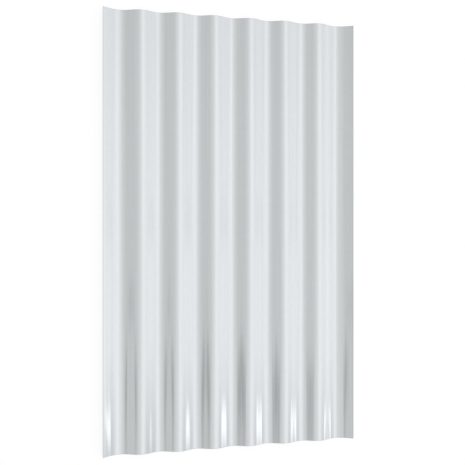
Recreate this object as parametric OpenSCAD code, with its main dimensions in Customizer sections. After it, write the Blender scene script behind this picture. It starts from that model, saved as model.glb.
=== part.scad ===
// Corrugated metal sheet: a thin zinc-coated steel sheet, roll-formed into shallow round waves and cut to length.
// It lies flat: waves run along Y, the width is along X, and the face that is seen looks up along Z.
// The origin is under the middle of the sheet, level with the undersides of the two outer troughs it rests on.
// All sizes are in millimetres.

/* [Sheet] */

// Length along the waves, from cut end to cut end
sheet_l = 600; // [300:10:1200]
// Width across the waves, from long edge to long edge
sheet_w = 360; // [200:1:1000]
// Thickness of the coated metal
sheet_t = 0.5; // [0.3:0.05:1]

/* [Waves] */

// Distance from one crest to the next
pitch = 51.3; // [49:0.1:60]
// Height of the crests above the inner troughs
depth = 7.6; // [5:0.1:8.5]
// Radius of the bends, at the middle of the thickness
bend_r = 20.95; // [14:0.05:22]
// Extra length of the two flanks that lead down to the outer troughs
outer_extra = 2.8; // [0:0.1:5]

/* [Side lips] */

// Slope of the two lips that stand up along the long edges, in degrees
lip_slope = 33.82; // [20:0.01:40]
// Radius of the bends from the outer troughs up to the lips, at the middle of the thickness
lip_r = 24; // [14:0.5:30]

/* [Hidden] */

$fn = 96;

// Straight run of a flank between the bend of a trough and the bend of a crest
flank_l = sqrt(pow(pitch / 2, 2) + pow(depth - 2 * bend_r, 2) - pow(2 * bend_r, 2));
// Slope of the flanks
slope = atan2(depth - 2 * bend_r, pitch / 2) + atan2(2 * bend_r, flank_l);
// How far the longer flanks put the outer troughs out and down
outer_out = outer_extra * cos(slope);
outer_down = outer_extra * sin(slope);
// Width from the middle of an outer trough to the end of the bend up to its lip, on the underside
lip_bend_w = (lip_r + sheet_t / 2) * sin(lip_slope);
// Troughs on each side of the middle one, as many as the width takes
side_troughs = floor((sheet_w / 2 - lip_bend_w - outer_out) / pitch);
// Straight run of a lip, from the end of its bend to the long edge
lip_l = (sheet_w / 2 - side_troughs * pitch - outer_out - lip_bend_w) / cos(lip_slope);
// Height of the inner troughs' middle line above the floor
lift = outer_down + sheet_t / 2;

// Half of the plane, left or right of the line x = 0
module half_plane(side) {
    reach = 3 * max(bend_r, lip_r);
    translate([side == "right" ? 0 : -reach, -reach])
        square([reach, 2 * reach]);
}

// Turns what follows about the centre of a bend
module turned(centre, turn) {
    translate(centre)
        rotate(turn)
            translate(-centre)
                children();
}

// A bend from the origin that turns up (positive) or down (negative); what follows goes on from its end
module bend(turn, radius = bend_r) {
    centre = [0, sign(turn) * radius];
    intersection() {
        translate(centre)
            difference() {
                circle(r = radius + sheet_t / 2);
                circle(r = radius - sheet_t / 2);
            }
        half_plane("right");
        turned(centre, turn)
            half_plane("left");
    }
    turned(centre, turn)
        children();
}

// A straight run from the origin; what follows goes on from its end
module straight(run) {
    translate([0, -sheet_t / 2])
        square([run, sheet_t]);
    translate([run, 0])
        children();
}

// Section from the middle of a trough out to the long edge: one wave after another, then the outer trough's lip
module half_section(trough = 0) {
    if (trough == side_troughs)
        bend(lip_slope, lip_r)
            straight(lip_l);
    else
        bend(slope)
            straight(flank_l)
                bend(-slope)
                    bend(-slope)
                        straight(flank_l + (trough + 1 == side_troughs ? outer_extra : 0))
                            bend(slope)
                                half_section(trough + 1);
}

// The rolled sheet: both halves of the section, carried along the length
module corrugated_sheet() {
    color([0.77, 0.79, 0.81])
        translate([0, 0, lift])
            rotate([90, 0, 0])
                linear_extrude(sheet_l, center = true) {
                    half_section();
                    mirror([1, 0])
                        half_section();
                }
}

corrugated_sheet();
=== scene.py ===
import math

import bpy
import numpy as np
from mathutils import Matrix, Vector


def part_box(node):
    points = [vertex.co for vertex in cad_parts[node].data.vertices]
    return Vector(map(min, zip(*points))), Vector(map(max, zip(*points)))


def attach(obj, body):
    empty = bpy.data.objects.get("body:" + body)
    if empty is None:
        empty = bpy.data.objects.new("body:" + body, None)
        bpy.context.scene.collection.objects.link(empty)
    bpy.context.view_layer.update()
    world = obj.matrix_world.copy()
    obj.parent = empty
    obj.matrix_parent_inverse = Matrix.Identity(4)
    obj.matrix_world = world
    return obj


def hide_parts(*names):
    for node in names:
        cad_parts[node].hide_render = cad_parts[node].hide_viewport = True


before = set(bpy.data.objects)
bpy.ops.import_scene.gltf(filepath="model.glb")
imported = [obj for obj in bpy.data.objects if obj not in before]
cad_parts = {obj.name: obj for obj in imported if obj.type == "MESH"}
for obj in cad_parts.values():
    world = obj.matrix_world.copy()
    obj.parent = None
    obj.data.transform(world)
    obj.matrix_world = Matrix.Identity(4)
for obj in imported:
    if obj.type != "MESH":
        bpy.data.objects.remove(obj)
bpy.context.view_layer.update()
scene = bpy.context.scene
scene.view_settings.view_transform = "Standard"


# Corrugated sheet
# One piece of thin steel strip, coated with zinc in a hot bath, then roll-formed cold between
# wave-shaped rollers and sheared to length. Its two outer troughs hang a little lower than the
# inner ones, and the lips along its long edges stand up steeper than the flanks of the waves.

# sizes in millimetres
MM = 0.001
sheet_low, sheet_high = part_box("corrugated_sheet")
SHEET_WIDTH, SHEET_LENGTH = (round(size / MM, 1) for size in (sheet_high - sheet_low)[:2])
SHEET_THICKNESS = 0.5
PITCH, DEPTH = 51.3, 7.6
WAVES_EACH_SIDE = int(SHEET_WIDTH / 2 // PITCH)
BEND_RADIUS = 21.6         # crests and troughs
FLANK_RADIUS = 104.0       # spring-back leaves the flanks between them slightly bowed
OUTER_EXTRA = 1.8          # extra length of the two flanks that lead down to the outer troughs
# each lip rises from its trough by bends: radius, and slope at the bend's end in degrees
LEFT_LIP = [(29.0, 31.5)]
RIGHT_LIP = [(18.0, 12.0), (48.0, 22.0), (20.0, 31.0)]
LIP_CURL_RADIUS = 150.0    # the lips go on curling up a little to the cut edge
SHEARED_EDGE_RADIUS = 0.12
DULLED_STRIP = 0.6         # width of the strip along the cut ends that shearing has dulled a little
DULLED_SHARE = 0.4         # share of the sheared face's dullness at the strip's outer edge

# steps of the mesh along the arcs of the section, along the waves and round a sheared edge
BEND_STEPS, FLANK_STEPS, OUTER_STEPS = 18, 8, 4
LIP_BEND_STEPS, LIP_CURL_STEPS = 24, 20
LENGTH_STEPS = 24
EDGE_STEPS = 4


def wave_angles():
    """Turn of a bend and steepest slope of a flank, in radians.

    A quarter wave is a bend of radius r through angle a, then a bowed flank of radius f up to slope s.
    It has to be a quarter pitch wide and half the depth high: f sin s = pitch/4 + (f - r) sin a, and
    f cos s = r - depth/2 + (f - r) cos a. Squaring and adding leaves one equation for a.
    """
    slack = FLANK_RADIUS - BEND_RADIUS
    across, up = PITCH / 4, BEND_RADIUS - DEPTH / 2
    known = (FLANK_RADIUS**2 - slack**2 - across**2 - up**2) / (2 * slack)
    turn = math.atan2(across, up) - math.acos(known / math.hypot(across, up))
    steepest = math.atan2(across + slack * math.sin(turn), up + slack * math.cos(turn))
    return turn, steepest


def half_section(lip_bends):
    """Middle line of half the section, from the middle trough out: x and z in mm, and slope in radians.

    The line is a chain of arcs, each with its length, its curvature and its number of steps. Along a
    short step d of curvature k the slope grows by k d, and the step's chord is d sin(k d / 2) / (k d / 2)
    long and lies at the slope of the step's middle, so running sums of the chords give the line exactly.
    """
    turn, steepest = wave_angles()
    bend = (BEND_RADIUS * turn, 1 / BEND_RADIUS, BEND_STEPS)
    flank = (FLANK_RADIUS * (steepest - turn), 1 / FLANK_RADIUS, FLANK_STEPS)
    rise = np.array([bend, flank, flank, bend])
    rise[2:, 1] *= -1
    chain = np.concatenate([rise, rise[::-1]] * WAVES_EACH_SIDE)
    # the extra length goes straight down at the steepest place of the last flank
    outer = len(chain) - 2
    chain = np.concatenate([chain[:outer], [(OUTER_EXTRA, 0, OUTER_STEPS)], chain[outer:]])

    # the lip's bends, then its curl, which ends where the lower face reaches half the sheet's width
    reached, slope = WAVES_EACH_SIDE * PITCH + OUTER_EXTRA * math.cos(steepest), 0.0
    lip = []
    for radius, end_degrees in lip_bends:
        end_slope = math.radians(end_degrees)
        lip.append((radius * (end_slope - slope), 1 / radius, LIP_BEND_STEPS))
        reached += radius * (math.sin(end_slope) - math.sin(slope))
        slope = end_slope
    curl_centre = reached - LIP_CURL_RADIUS * math.sin(slope)
    edge_slope = math.asin((SHEET_WIDTH / 2 - curl_centre) / (LIP_CURL_RADIUS + SHEET_THICKNESS / 2))
    curl_length = LIP_CURL_RADIUS * (edge_slope - slope) - SHEARED_EDGE_RADIUS
    lip.append((curl_length, 1 / LIP_CURL_RADIUS, LIP_CURL_STEPS))
    chain = np.concatenate([chain, lip])

    steps = chain[:, 2].astype(int)
    run = np.repeat(chain[:, 0] / chain[:, 2], steps)
    turned = np.repeat(chain[:, 1], steps) * run
    slopes = np.concatenate([[0], np.cumsum(turned)])
    middle = slopes[:-1] + turned / 2
    chord = run * np.sinc(turned / (2 * np.pi))
    x = np.concatenate([[0], np.cumsum(chord * np.cos(middle))])
    z = np.concatenate([[0], np.cumsum(chord * np.sin(middle))])
    return x, z, slopes


def rolled_section():
    """Middle line of the whole section from edge to edge: x and z in mm, and slope in radians.

    The left half is mirrored and joined to the right half. Both are lifted by half the thickness and by
    as much as the outer troughs hang lower, so that the undersides of these are at z = 0.
    """
    left_x, left_z, left_slope = half_section(LEFT_LIP)
    right_x, right_z, right_slope = half_section(RIGHT_LIP)
    steepest = wave_angles()[1]
    lift = SHEET_THICKNESS / 2 + OUTER_EXTRA * math.sin(steepest)
    x = np.concatenate([-left_x[:0:-1], right_x])
    z = np.concatenate([left_z[:0:-1], right_z]) + lift
    slope = np.concatenate([-left_slope[:0:-1], right_slope])
    return x, z, slope


def corrugated_sheet_mesh():
    """The closed sheet as a mesh, in metres.

    The upper and lower faces are the section's middle line set off by half the thickness along its normal
    (-sin slope, cos slope), carried along y. A rim joins them round the outline, over a quarter round, the
    sheared face and another quarter round: its points lie off the metal's core by the radius of a sheared
    edge, in the direction sin tilt times outward plus cos tilt times normal, for tilts from 0 to pi.
    """
    x, z, slope = rolled_section()
    inset = SHEET_LENGTH / 2 - SHEARED_EDGE_RADIUS
    bright = inset - DULLED_STRIP
    y = np.concatenate([[-inset], np.linspace(-bright, bright, LENGTH_STEPS + 1), [inset]])
    across, along = len(x), len(y)
    middle = np.zeros((across, along, 3))
    middle[..., 0], middle[..., 1], middle[..., 2] = x[:, None], y[None, :], z[:, None]
    normal = np.zeros_like(middle)
    normal[..., 0], normal[..., 2] = -np.sin(slope)[:, None], np.cos(slope)[:, None]
    middle, normal = middle.reshape(-1, 3), normal.reshape(-1, 3)

    # outline of the grid, anticlockwise seen from above, and the direction out of the sheet at its points
    grid = np.arange(across * along).reshape(across, along)
    outline = np.concatenate([grid[:-1, 0], grid[-1, :-1], grid[:0:-1, -1], grid[0, :0:-1]])
    column, row = np.divmod(outline, along)
    side = (column == across - 1).astype(float) - (column == 0)
    end = (row == along - 1).astype(float) - (row == 0)
    outward = np.stack([side * np.cos(slope[column]), end, side * np.sin(slope[column])], axis=1)

    quarter = np.linspace(0, np.pi / 2, EDGE_STEPS + 1)[1:]
    tilt = np.concatenate([quarter, np.pi - quarter[::-1]])[:, None, None]
    core = np.repeat([1, -1], EDGE_STEPS)[:, None, None] * (SHEET_THICKNESS / 2 - SHEARED_EDGE_RADIUS)
    rim_normal = np.sin(tilt) * outward + np.cos(tilt) * normal[outline]
    rim = middle[outline] + core * normal[outline] + SHEARED_EDGE_RADIUS * rim_normal

    upper = middle + SHEET_THICKNESS / 2 * normal
    lower = middle - SHEET_THICKNESS / 2 * normal
    points = np.concatenate([upper, lower, rim.reshape(-1, 3)]) * MM
    normals = np.concatenate([normal, -normal, rim_normal.reshape(-1, 3)])
    normals /= np.linalg.norm(normals, axis=1, keepdims=True)

    # each face's points in order, the rim's in rings from the upper face's outline to the lower one's
    quads = np.stack([grid[:-1, :-1], grid[1:, :-1], grid[1:, 1:], grid[:-1, 1:]], axis=-1).reshape(-1, 4)
    rim_rings = 2 * grid.size + np.arange(len(tilt) * len(outline)).reshape(len(tilt), -1)
    rings = np.concatenate([outline[None], rim_rings, outline[None] + grid.size])
    after = np.roll(rings, -1, axis=1)
    rim_quads = np.stack([rings[:-1], rings[1:], after[1:], after[:-1]], axis=-1).reshape(-1, 4)
    faces = np.concatenate([quads, quads[:, ::-1] + grid.size, rim_quads])

    sheared = np.concatenate([np.zeros(2 * grid.size), np.ones(rim_rings.size)])
    sheared[outline] = sheared[outline + grid.size] = DULLED_SHARE

    mesh = bpy.data.meshes.new("corrugated_sheet_rolled")
    mesh.from_pydata(points, [], faces.tolist())
    mesh.attributes.new("sheared", "FLOAT", "POINT").data.foreach_set("value", sheared.astype(np.float32))
    mesh.polygons.foreach_set("use_smooth", np.ones(len(faces), dtype=bool))
    mesh.normals_split_custom_set_from_vertices(normals.astype(np.float32))
    mesh.update()
    return mesh


def linear(hex_colour):
    """sRGB hex to linear RGBA.

    Each part c from 0 to 1 becomes c / 12.92 up to 0.04045, and ((c + 0.055) / 1.055) to the power 2.4 above.
    """
    parts = [int(hex_colour[i:i + 2], 16) / 255 for i in (1, 3, 5)]
    return [c / 12.92 if c <= 0.04045 else ((c + 0.055) / 1.055) ** 2.4 for c in parts] + [1.0]


def add_node(tree, kind, links=None, **settings):
    """Adds a node, sets its properties, and fills its inputs with values or with other nodes' outputs."""
    node = tree.nodes.new(kind)
    for name, value in settings.items():
        setattr(node, name, value)
    for name, value in (links or {}).items():
        if isinstance(value, bpy.types.NodeSocket):
            tree.links.new(value, node.inputs[name])
        else:
            node.inputs[name].default_value = value
    return node


# shades, roughness and patterns of the zinc-coated steel, the patterns' sizes in millimetres
DARK_ZINC, LIGHT_ZINC, SHEARED_STEEL = "#dadee0", "#e2e6e6", "#a9abab"
ROLLED_ROUGHNESS, DRAGGED_ROUGHNESS = 0.06, 0.09
SHEARED_EXTRA_ROUGHNESS = 0.3
FROST_GRAIN = 0.5
CRYSTAL_SIZE, CRYSTAL_RAGGEDNESS = 5.0, 1.2
# the real roller lines are finer, and are drawn this coarse to show
LINE_SPACING, LINE_LENGTH, LINE_RELIEF = 1.5, 400.0, 0.015
LINE_FAINTEST, LINE_STRONGEST = 0.3, 0.7    # stretch of the noise's values that makes the lines
FROST_SHARE, LINE_SHARE = 0.4, 0.7          # of the frost beside the crystals, and of the lines over both


def zinc_coated_steel():
    """Hot-dip zinc on steel, smoothed by the rollers: bright cool grey, mirror-like but softened.

    To the eye it gives long clear reflections along the waves, a faint mottle of frost-like zinc crystals,
    and hair-fine lines where the rollers dragged along the sheet. The sheared rim shows bare, duller steel.
    """
    material = bpy.data.materials.new("zinc_coated_steel")
    material.use_nodes = True
    tree = material.node_tree
    tree.nodes.clear()
    place = add_node(tree, "ShaderNodeTexCoord").outputs["Object"]

    # frost all over, and ragged zinc crystals, some a shade lighter and some a shade darker
    frost = add_node(tree, "ShaderNodeTexNoise",
                     {"Vector": place, "Scale": 1 / (FROST_GRAIN * MM), "Detail": 2.0}).outputs
    ragged = add_node(tree, "ShaderNodeVectorMath",
                      {0: frost["Color"], 1: (CRYSTAL_RAGGEDNESS * MM,) * 3, 2: place},
                      operation="MULTIPLY_ADD").outputs["Vector"]
    crystals = add_node(tree, "ShaderNodeTexVoronoi",
                        {"Vector": ragged, "Scale": 1 / (CRYSTAL_SIZE * MM), "Randomness": 1.0})
    crystal = add_node(tree, "ShaderNodeSeparateColor", {"Color": crystals.outputs["Color"]}).outputs["Red"]

    # roller lines along the waves
    stretched = add_node(tree, "ShaderNodeMapping",
                         {"Vector": place, "Scale": (1 / (LINE_SPACING * MM), 1 / (LINE_LENGTH * MM), 0)})
    lines = add_node(tree, "ShaderNodeTexNoise",
                     {"Vector": stretched.outputs["Vector"], "Scale": 1.0, "Detail": 3.0,
                      "Roughness": 0.65}).outputs["Fac"]
    drag = add_node(tree, "ShaderNodeMapRange",
                    {"Value": lines, "From Min": LINE_FAINTEST, "From Max": LINE_STRONGEST}).outputs["Result"]

    # in a colour mix, inputs 6 and 7 are its two colours and output 2 the result
    shade = add_node(tree, "ShaderNodeMix", {"Factor": FROST_SHARE, "A": crystal, "B": frost["Fac"]})
    shade = add_node(tree, "ShaderNodeMix", {"Factor": LINE_SHARE, "A": shade.outputs[0], "B": drag})
    zinc = add_node(tree, "ShaderNodeMix",
                    {0: shade.outputs[0], 6: linear(DARK_ZINC), 7: linear(LIGHT_ZINC)}, data_type="RGBA")
    rim = add_node(tree, "ShaderNodeAttribute", attribute_name="sheared").outputs["Fac"]
    skin = add_node(tree, "ShaderNodeMix",
                    {0: rim, 6: zinc.outputs[2], 7: linear(SHEARED_STEEL)}, data_type="RGBA")
    gloss = add_node(tree, "ShaderNodeMapRange",
                     {"Value": drag, "To Min": ROLLED_ROUGHNESS, "To Max": DRAGGED_ROUGHNESS})
    dulled = add_node(tree, "ShaderNodeMath",
                      {0: rim, 1: SHEARED_EXTRA_ROUGHNESS, 2: gloss.outputs["Result"]},
                      operation="MULTIPLY_ADD")
    relief = add_node(tree, "ShaderNodeBump",
                      {"Height": lines, "Strength": 1.0, "Distance": LINE_RELIEF * MM})
    surface = add_node(tree, "ShaderNodeBsdfPrincipled",
                       {"Base Color": skin.outputs[2], "Metallic": 1.0, "Roughness": dulled.outputs[0],
                        "Normal": relief.outputs["Normal"]})
    add_node(tree, "ShaderNodeOutputMaterial", {"Surface": surface.outputs["BSDF"]})
    return material


sheet = bpy.data.objects.new("rolled_sheet", corrugated_sheet_mesh())
scene.collection.objects.link(sheet)
sheet.data.materials.append(zinc_coated_steel())
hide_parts("corrugated_sheet")
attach(sheet, "root")


# Floor
# A wide sheet of matt white paper under the object. Most of the white that the camera and the metal
# see is its own, so that it stays white, and the rest is lit, so that the object's soft shadow shows.

FLOOR_HALF = 12.0    # metres
PLAIN_PAPER, LIT_PART = "#f4f4f4", "#959595"
OWN_WHITE, OWN_WHITE_LEVEL = "#ffffff", 0.77

corners = FLOOR_HALF * np.array([(-1, -1, 0), (1, -1, 0), (1, 1, 0), (-1, 1, 0)])
floor_mesh = bpy.data.meshes.new("paper_floor")
floor_mesh.from_pydata(corners, [], [(0, 1, 2, 3)])
floor = bpy.data.objects.new("paper_floor", floor_mesh)
scene.collection.objects.link(floor)
paper = bpy.data.materials.new("matt_white_paper")
paper.use_nodes = True
tree = paper.node_tree
tree.nodes.clear()
path = add_node(tree, "ShaderNodeLightPath").outputs
seen = path["Is Camera Ray"]
for ray in ("Is Glossy Ray", "Is Transmission Ray"):
    seen = add_node(tree, "ShaderNodeMath", {0: seen, 1: path[ray]}, operation="MAXIMUM").outputs[0]
plain = add_node(tree, "ShaderNodeBsdfDiffuse", {"Color": linear(PLAIN_PAPER)})
lit_part = add_node(tree, "ShaderNodeBsdfDiffuse", {"Color": linear(LIT_PART)})
own_white = add_node(tree, "ShaderNodeEmission", {"Color": linear(OWN_WHITE), "Strength": OWN_WHITE_LEVEL})
shown = add_node(tree, "ShaderNodeAddShader", {0: lit_part.outputs[0], 1: own_white.outputs[0]})
either = add_node(tree, "ShaderNodeMixShader", {0: seen, 1: plain.outputs[0], 2: shown.outputs[0]})
add_node(tree, "ShaderNodeOutputMaterial", {"Surface": either.outputs[0]})
floor_mesh.materials.append(paper)


# Studio light
# A white studio all round the object, bright from overhead to the right and shaded on the left. One soft
# lamp and a few grey cards stand in it, far off. Angles are in degrees: "swing" leans from overhead
# towards +x, and "reach" leans towards +y.

world = bpy.data.worlds.new("white_studio")
scene.world = world
world.use_nodes = True
tree = world.node_tree
tree.nodes.clear()
direction = add_node(tree, "ShaderNodeTexCoord").outputs["Generated"]
direction = add_node(tree, "ShaderNodeSeparateXYZ", {0: direction}).outputs
swing = add_node(tree, "ShaderNodeMath", {0: direction["X"], 1: direction["Z"]}, operation="ARCTAN2")
swing = add_node(tree, "ShaderNodeMath", {0: swing.outputs[0]}, operation="DEGREES").outputs[0]
reach = add_node(tree, "ShaderNodeMath", {0: direction["Y"]}, operation="ARCSINE")
reach = add_node(tree, "ShaderNodeMath", {0: reach.outputs[0]}, operation="DEGREES").outputs[0]
spot = add_node(tree, "ShaderNodeCombineXYZ", {0: swing, 1: reach}).outputs[0]

# brightness by swing, and how it fades by reach towards both ends of the sheet
STUDIO_LEVELS = [
    (-90, 0.60), (-50, 0.715), (-40, 0.72), (-28, 0.74), (-18, 0.78), (-8, 0.835), (0, 0.89), (6, 0.945),
    (12, 1.01), (18, 1.055), (23, 1.09), (29, 1.06), (34, 1.045), (48, 1.025), (60, 1.045), (73, 1.05),
    (79, 1.17), (90, 0.90),
]
END_LEVELS = [(-90, 0.60), (-50, 0.75), (-18, 1.00), (9, 1.00), (18, 0.97), (50, 0.75), (90, 0.60)]
# daylight adds a little blue on the right, all of it from this swing on
DAYLIGHT_BLUE, DAYLIGHT_SWING = 0.02, 30
light = (1, 1, 1)
for angle, levels, blue in ((swing, STUDIO_LEVELS, DAYLIGHT_BLUE), (reach, END_LEVELS, 0)):
    share = add_node(tree, "ShaderNodeMapRange", {"Value": angle, "From Min": -90.0, "From Max": 90.0})
    studio = add_node(tree, "ShaderNodeValToRGB", {"Fac": share.outputs["Result"]})
    stops = studio.color_ramp.elements
    while len(stops) < len(levels):
        stops.new(1.0)
    for stop, (at, level) in zip(stops, levels):
        stop.position = (at + 90) / 180
        daylight = min(max(at / DAYLIGHT_SWING, 0), 1)
        stop.color = (level, level, level * (1 + blue * daylight), 1)
    light = add_node(tree, "ShaderNodeVectorMath", {0: light, 1: studio.outputs["Color"]},
                     operation="MULTIPLY").outputs["Vector"]

# soft-edged ovals in the studio: swing, reach, half width, half height and lean in degrees, then the
# share of the studio's brightness in the oval, and the softness of its edge as a share of its size
LAMP_AND_CARDS = [
    (64.9, -14.8, 3.6, 1.25, 12, 1.66, 0.88),     # lamp, its near half
    (70.4, -14.85, 3.5, 0.90, 20, 1.42, 0.50),    # lamp, its far half
    (61.0, -30.0, 31.5, 15.0, -4, 0.64, 0.50),    # dark cloth under the lamp
    (-36.6, -11.2, 3.7, 2.7, -16, 0.72, 0.65),    # grey card, its far half
    (-30.2, -13.7, 8.0, 3.2, 17, 0.81, 0.55),     # grey card, its near half
    (-62.0, -4.3, 18.0, 2.3, -4, 0.84, 0.60),     # long card on the left
    (61.5, 0.9, 9.5, 1.85, 1, 0.95, 0.80),        # seam of the backdrop on the right
    (50.0, 26.0, 35.0, 18.5, -23, 0.94, 0.45),    # shaded top of the studio
]
for card_swing, card_reach, half_width, half_height, lean, level, edge in LAMP_AND_CARDS:
    on_oval = add_node(tree, "ShaderNodeMapping",
                       {"Vector": spot, "Location": (card_swing, card_reach, 0),
                        "Rotation": (0, 0, math.radians(lean)), "Scale": (half_width, half_height, 1)},
                       vector_type="TEXTURE")
    from_middle = add_node(tree, "ShaderNodeVectorMath", {0: on_oval.outputs["Vector"]}, operation="LENGTH")
    factor = add_node(tree, "ShaderNodeMapRange",
                      {"Value": from_middle.outputs["Value"], "From Min": 1 - edge, "From Max": 1 + edge,
                       "To Min": level, "To Max": 1.0},
                      interpolation_type="SMOOTHSTEP")
    light = add_node(tree, "ShaderNodeVectorMath", {0: light, "Scale": factor.outputs["Result"]},
                     operation="SCALE").outputs["Vector"]

# the camera, and anything seen through clear material, sees plain white behind the floor
path = add_node(tree, "ShaderNodeLightPath").outputs
seen = add_node(tree, "ShaderNodeMath", {0: path["Is Camera Ray"], 1: path["Is Transmission Ray"]},
                operation="MAXIMUM").outputs[0]
lights = add_node(tree, "ShaderNodeBackground", {"Color": light, "Strength": 1.0})
backdrop = add_node(tree, "ShaderNodeBackground", {"Color": linear("#ffffff"), "Strength": 1.0})
either = add_node(tree, "ShaderNodeMixShader", {0: seen, 1: lights.outputs[0], 2: backdrop.outputs[0]})
add_node(tree, "ShaderNodeOutputWorld", {"Surface": either.outputs[0]})


# Camera
# About a metre above the floor and a little to the left of the sheet, leaning to the right, with the
# waves upright in the picture: the sheet lies flat, and the camera looks down on it.

SENSOR_WIDTH, LENS = 36.0, 56.62    # millimetres
CAMERA_PLACE = (-0.26227, -0.000575, 0.99319)
CAMERA_LEAN = -14.844               # degrees about Y

camera_data = bpy.data.cameras.new("camera")
camera_data.sensor_width = SENSOR_WIDTH
camera_data.lens = LENS
camera = bpy.data.objects.new("camera", camera_data)
camera.location = CAMERA_PLACE
camera.rotation_euler = (0, math.radians(CAMERA_LEAN), 0)
scene.collection.objects.link(camera)
scene.camera = camera
